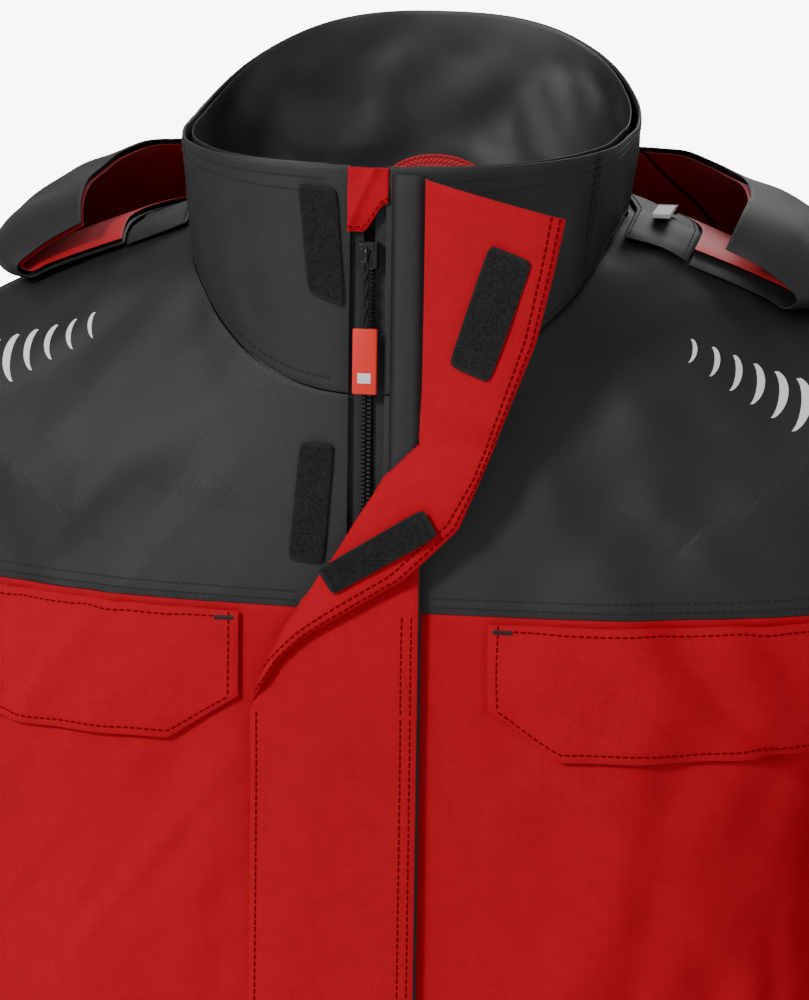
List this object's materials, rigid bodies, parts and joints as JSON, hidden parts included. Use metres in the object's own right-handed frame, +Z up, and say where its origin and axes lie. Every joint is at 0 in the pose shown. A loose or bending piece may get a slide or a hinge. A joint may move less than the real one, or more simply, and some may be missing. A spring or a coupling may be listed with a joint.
{
  "type": "foul weather jacket",
  "caption": "Two-tone waterproof sailing jacket with tall collar, zip under a storm flap, chest and lower flap pockets, set-in sleeves and a hood lying back.",
  "frame": {"origin": "middle of the top of the hang loop, inside the back of the neck", "axes": "+Z up, front of the jacket faces -Y, +X is the wearer's left"},
  "size_m": [0.799, 0.3352, 0.8407],
  "materials": {
    "shell_red": "matte ripstop, satin sheen",
    "shell_black": "matte fine weave",
    "lining_black": "satin taffeta",
    "hook_loop": "fuzzy",
    "zip_black": "knitted tape and coil",
    "zip_metal": "black lacquer",
    "pull_red": "soft moulded",
    "pull_white": "soft moulded",
    "webbing_red": "ribbed webbing",
    "reflective": "heat-sealed film"
  },
  "bodies": {
    "root": {"front_panel_right": "shell_red", "front_panel_left": "shell_red", "front_yoke_right": "shell_black", "front_yoke_left": "shell_black", "back_panel": "shell_red", "back_yoke": "shell_black", "front_lining_right": "lining_black", "front_lining_left": "lining_black", "back_lining": "lining_black", "collar_front_right": "shell_black", "collar_front_left": "shell_black", "collar_back": "shell_black", "collar_lining": "lining_black", "zip_tape_right": "zip_black", "zip_tape_left": "zip_black", "zip_coil_right": "zip_black", "zip_coil_left": "zip_black", "zip_bottom_box": "zip_metal", "zip_garage": "shell_red", "zip_placket": "shell_black", "loop_strip_collar": "hook_loop", "loop_strip_chest": "hook_loop", "loop_strip_waist": "hook_loop", "chest_pocket_bag_right": "lining_black", "chest_pocket_bag_left": "lining_black", "lower_pocket_bag_right": "lining_black", "lower_pocket_bag_left": "lining_black", "hang_loop": "webbing_red", "hood_band": "shell_black", "hood_side_left": "shell_black", "hood_side_right": "shell_black"},
    "zip_slider": {"zip_slider": "zip_metal"},
    "zip_pull": {"zip_pull_cord": "hook_loop", "zip_pull_tab": "pull_red"},
    "flap_lower": {"storm_flap_lower": "shell_red", "hook_strip_waist": "hook_loop"},
    "flap_upper": {"storm_flap_upper": "shell_red", "hook_strip_collar": "hook_loop", "hook_strip_chest": "hook_loop"},
    "hood": {"hood_bag": "shell_black", "hood_lining": "shell_red"},
    "hood_slider": {"hood_zip_slider": "zip_metal"},
    "hood_pull": {"hood_zip_pull": "pull_white"},
    "chest_flap_right": {"chest_flap_right": "shell_red"},
    "lower_flap_right": {"lower_flap_right": "shell_red"},
    "sleeve_right": {"sleeve_upper_right": "shell_black", "sleeve_lower_right": "shell_red", "cuff_right": "shell_red", "sleeve_lining_right": "lining_black"},
    "cuff_tab_right": {"cuff_tab_right": "shell_red"},
    "chest_flap_left": {"chest_flap_left": "shell_red"},
    "lower_flap_left": {"lower_flap_left": "shell_red"},
    "sleeve_left": {"sleeve_upper_left": "shell_black", "sleeve_lower_left": "shell_red", "cuff_left": "shell_red", "sleeve_lining_left": "lining_black"},
    "cuff_tab_left": {"cuff_tab_left": "shell_red"}
  },
  "joints": [
    {"name": "zip_slide", "type": "slide", "parent": "root", "child": "zip_slider", "axis": [0, -0.0698, -0.9976], "range_m": [-0.0035, 0.72]},
    {"name": "zip_pull_swing", "type": "hinge", "parent": "zip_slider", "child": "zip_pull", "pos_m": [0, -0.16455, -0.0128], "axis": [-1, 0, 0], "range_deg": [0, 120]},
    {"name": "storm_flap_lower_open", "type": "hinge", "parent": "root", "child": "flap_lower", "pos_m": [0.0255, -0.18606, -0.27584], "axis": [0, 0.0698, 0.9976], "range_deg": [0, 105]},
    {"name": "storm_flap_upper_close", "type": "hinge", "parent": "root", "child": "flap_upper", "pos_m": [0.0255, -0.18606, -0.27584], "axis": [0, 0.0698, 0.9976], "range_deg": [-150, 0]},
    {"name": "hood_lift", "type": "hinge", "parent": "root", "child": "hood", "pos_m": [0, 0.017, 0.025], "axis": [1, 0, 0], "range_deg": [0, 100]},
    {"name": "hood_zip_slide", "type": "slide", "parent": "root", "child": "hood_slider", "axis": [-0.2079, 0.9777, 0.0291], "range_m": [-0.006, 0.006]},
    {"name": "hood_pull_lift", "type": "hinge", "parent": "hood_slider", "child": "hood_pull", "pos_m": [0.11543, -0.0443, -0.0124], "axis": [-1, 0, 0], "range_deg": [0, 75]},
    {"name": "chest_flap_right_open", "type": "hinge", "parent": "root", "child": "chest_flap_right", "pos_m": [-0.13, -0.169, -0.1745], "axis": [-0.9752, 0.2212, 0], "range_deg": [0, 130]},
    {"name": "lower_flap_right_open", "type": "hinge", "parent": "root", "child": "lower_flap_right", "pos_m": [-0.1203, -0.1906, -0.5135], "axis": [-0.9522, 0.3056, 0], "range_deg": [0, 130]},
    {"name": "sleeve_right_raise", "type": "hinge", "parent": "root", "child": "sleeve_right", "pos_m": [-0.2154, -0.05805, -0.0765], "axis": [0, 1, 0], "range_deg": [0, 60]},
    {"name": "cuff_tab_right_open", "type": "hinge", "parent": "sleeve_right", "child": "cuff_tab_right", "pos_m": [-0.39443, -0.07893, -0.6255], "axis": [-0.0801, 0.0277, -0.9964], "range_deg": [0, 110]},
    {"name": "chest_flap_left_open", "type": "hinge", "parent": "root", "child": "chest_flap_left", "pos_m": [0.13, -0.169, -0.1745], "axis": [-0.9752, -0.2212, 0], "range_deg": [0, 130]},
    {"name": "lower_flap_left_open", "type": "hinge", "parent": "root", "child": "lower_flap_left", "pos_m": [0.1203, -0.1906, -0.5135], "axis": [-0.9522, -0.3056, 0], "range_deg": [0, 130]},
    {"name": "sleeve_left_raise", "type": "hinge", "parent": "root", "child": "sleeve_left", "pos_m": [0.2154, -0.05805, -0.0765], "axis": [0, -1, 0], "range_deg": [0, 60]},
    {"name": "cuff_tab_left_open", "type": "hinge", "parent": "sleeve_left", "child": "cuff_tab_left", "pos_m": [0.39443, -0.07893, -0.6255], "axis": [-0.0801, -0.0277, 0.9964], "range_deg": [0, 110]}
  ]
}
